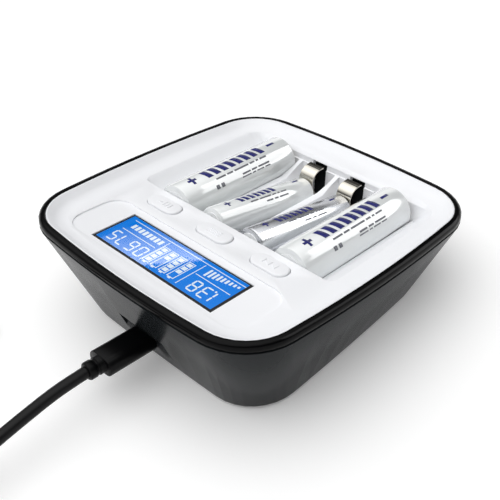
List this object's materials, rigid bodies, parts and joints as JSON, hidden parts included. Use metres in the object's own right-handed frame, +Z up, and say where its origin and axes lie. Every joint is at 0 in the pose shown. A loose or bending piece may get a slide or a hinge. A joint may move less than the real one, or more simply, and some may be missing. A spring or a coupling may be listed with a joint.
{
  "type": "battery charger",
  "caption": "Wedge-shaped desk charger with a dished panel, a display, push keys, open bays with sprung contacts for round cells, and a plug-in lead.",
  "frame": {"origin": "on the table, under the middle of the charger without its lead", "axes": "+X the user's right, +Y the rear with the display and the lead, +Z up"},
  "size_m": [0.1119, 0.2096, 0.038],
  "materials": {
    "case_grey": "satin",
    "rim_black": "gloss",
    "panel_white": "satin",
    "window_clear": "gloss",
    "lcd_blue": "gloss",
    "light_white": "matte",
    "board_green": "satin",
    "switch_black": "matte",
    "key_white": "satin",
    "socket_steel": "satin",
    "contact_nickel": "satin",
    "ribbon_grey": "satin",
    "cell_white": "semi gloss",
    "cell_silver": "satin",
    "foot_rubber": "matte",
    "plug_black": "satin",
    "lead_black": "satin"
  },
  "bodies": {
    "charger": {"lower_case": "case_grey", "rim_bezel": "rim_black", "top_panel": "panel_white", "display_window": "window_clear", "lcd_glass": "lcd_blue", "lcd_backlight": "light_white", "display_board": "board_green", "main_board": "board_green", "contact_board": "board_green", "switch_bodies": "switch_black", "board_components": "switch_black", "usb_socket": "socket_steel", "plug_shell": "socket_steel", "far_plug_shell": "socket_steel", "case_screws": "socket_steel", "positive_contact_1": "contact_nickel", "positive_contact_2": "contact_nickel", "positive_contact_3": "contact_nickel", "positive_contact_4": "contact_nickel", "ribbon_lead": "ribbon_grey", "aa_cell_1": "cell_white", "aaa_cell_2": "cell_white", "aa_cell_4": "cell_white", "aaa_cell_3": "cell_silver", "rubber_feet": "foot_rubber", "plug_grip": "plug_black", "far_plug_grip": "plug_black", "lead_tie": "plug_black", "lead_out": "lead_black", "lead_coil": "lead_black", "lead_tail": "lead_black"},
    "key_right": {"button_right": "key_white", "plunger_right": "switch_black"},
    "key_middle": {"button_middle": "key_white", "plunger_middle": "switch_black"},
    "key_left": {"button_left": "key_white", "plunger_left": "switch_black"},
    "leaf_1": {"negative_contact_1": "contact_nickel"},
    "leaf_2": {"negative_contact_2": "contact_nickel"},
    "leaf_3": {"negative_contact_3": "contact_nickel"},
    "leaf_4": {"negative_contact_4": "contact_nickel"}
  },
  "joints": [
    {"name": "key_right_press", "type": "slide", "parent": "charger", "child": "key_right", "axis": [0, -0.1219, 0.9925], "range_m": [-0.0005, 0], "stiffness_N_per_m": 600},
    {"name": "key_middle_press", "type": "slide", "parent": "charger", "child": "key_middle", "axis": [0, -0.1219, 0.9925], "range_m": [-0.0005, 0], "stiffness_N_per_m": 600},
    {"name": "key_left_press", "type": "slide", "parent": "charger", "child": "key_left", "axis": [0, -0.1219, 0.9925], "range_m": [-0.0005, 0], "stiffness_N_per_m": 600},
    {"name": "leaf_1_give", "type": "hinge", "parent": "charger", "child": "leaf_1", "pos_m": [0.02445, -0.0366, 0.00665], "axis": [1, 0, 0], "range_deg": [0, 1.5], "stiffness_Nm_per_rad": 0.03},
    {"name": "leaf_2_give", "type": "hinge", "parent": "charger", "child": "leaf_2", "pos_m": [0.00815, -0.0366, 0.00665], "axis": [1, 0, 0], "range_deg": [0, 27], "stiffness_Nm_per_rad": 0.03},
    {"name": "leaf_3_give", "type": "hinge", "parent": "charger", "child": "leaf_3", "pos_m": [-0.00815, -0.0366, 0.00665], "axis": [1, 0, 0], "range_deg": [0, 27], "stiffness_Nm_per_rad": 0.03},
    {"name": "leaf_4_give", "type": "hinge", "parent": "charger", "child": "leaf_4", "pos_m": [-0.02445, -0.0366, 0.00665], "axis": [1, 0, 0], "range_deg": [0, 1.5], "stiffness_Nm_per_rad": 0.03}
  ]
}
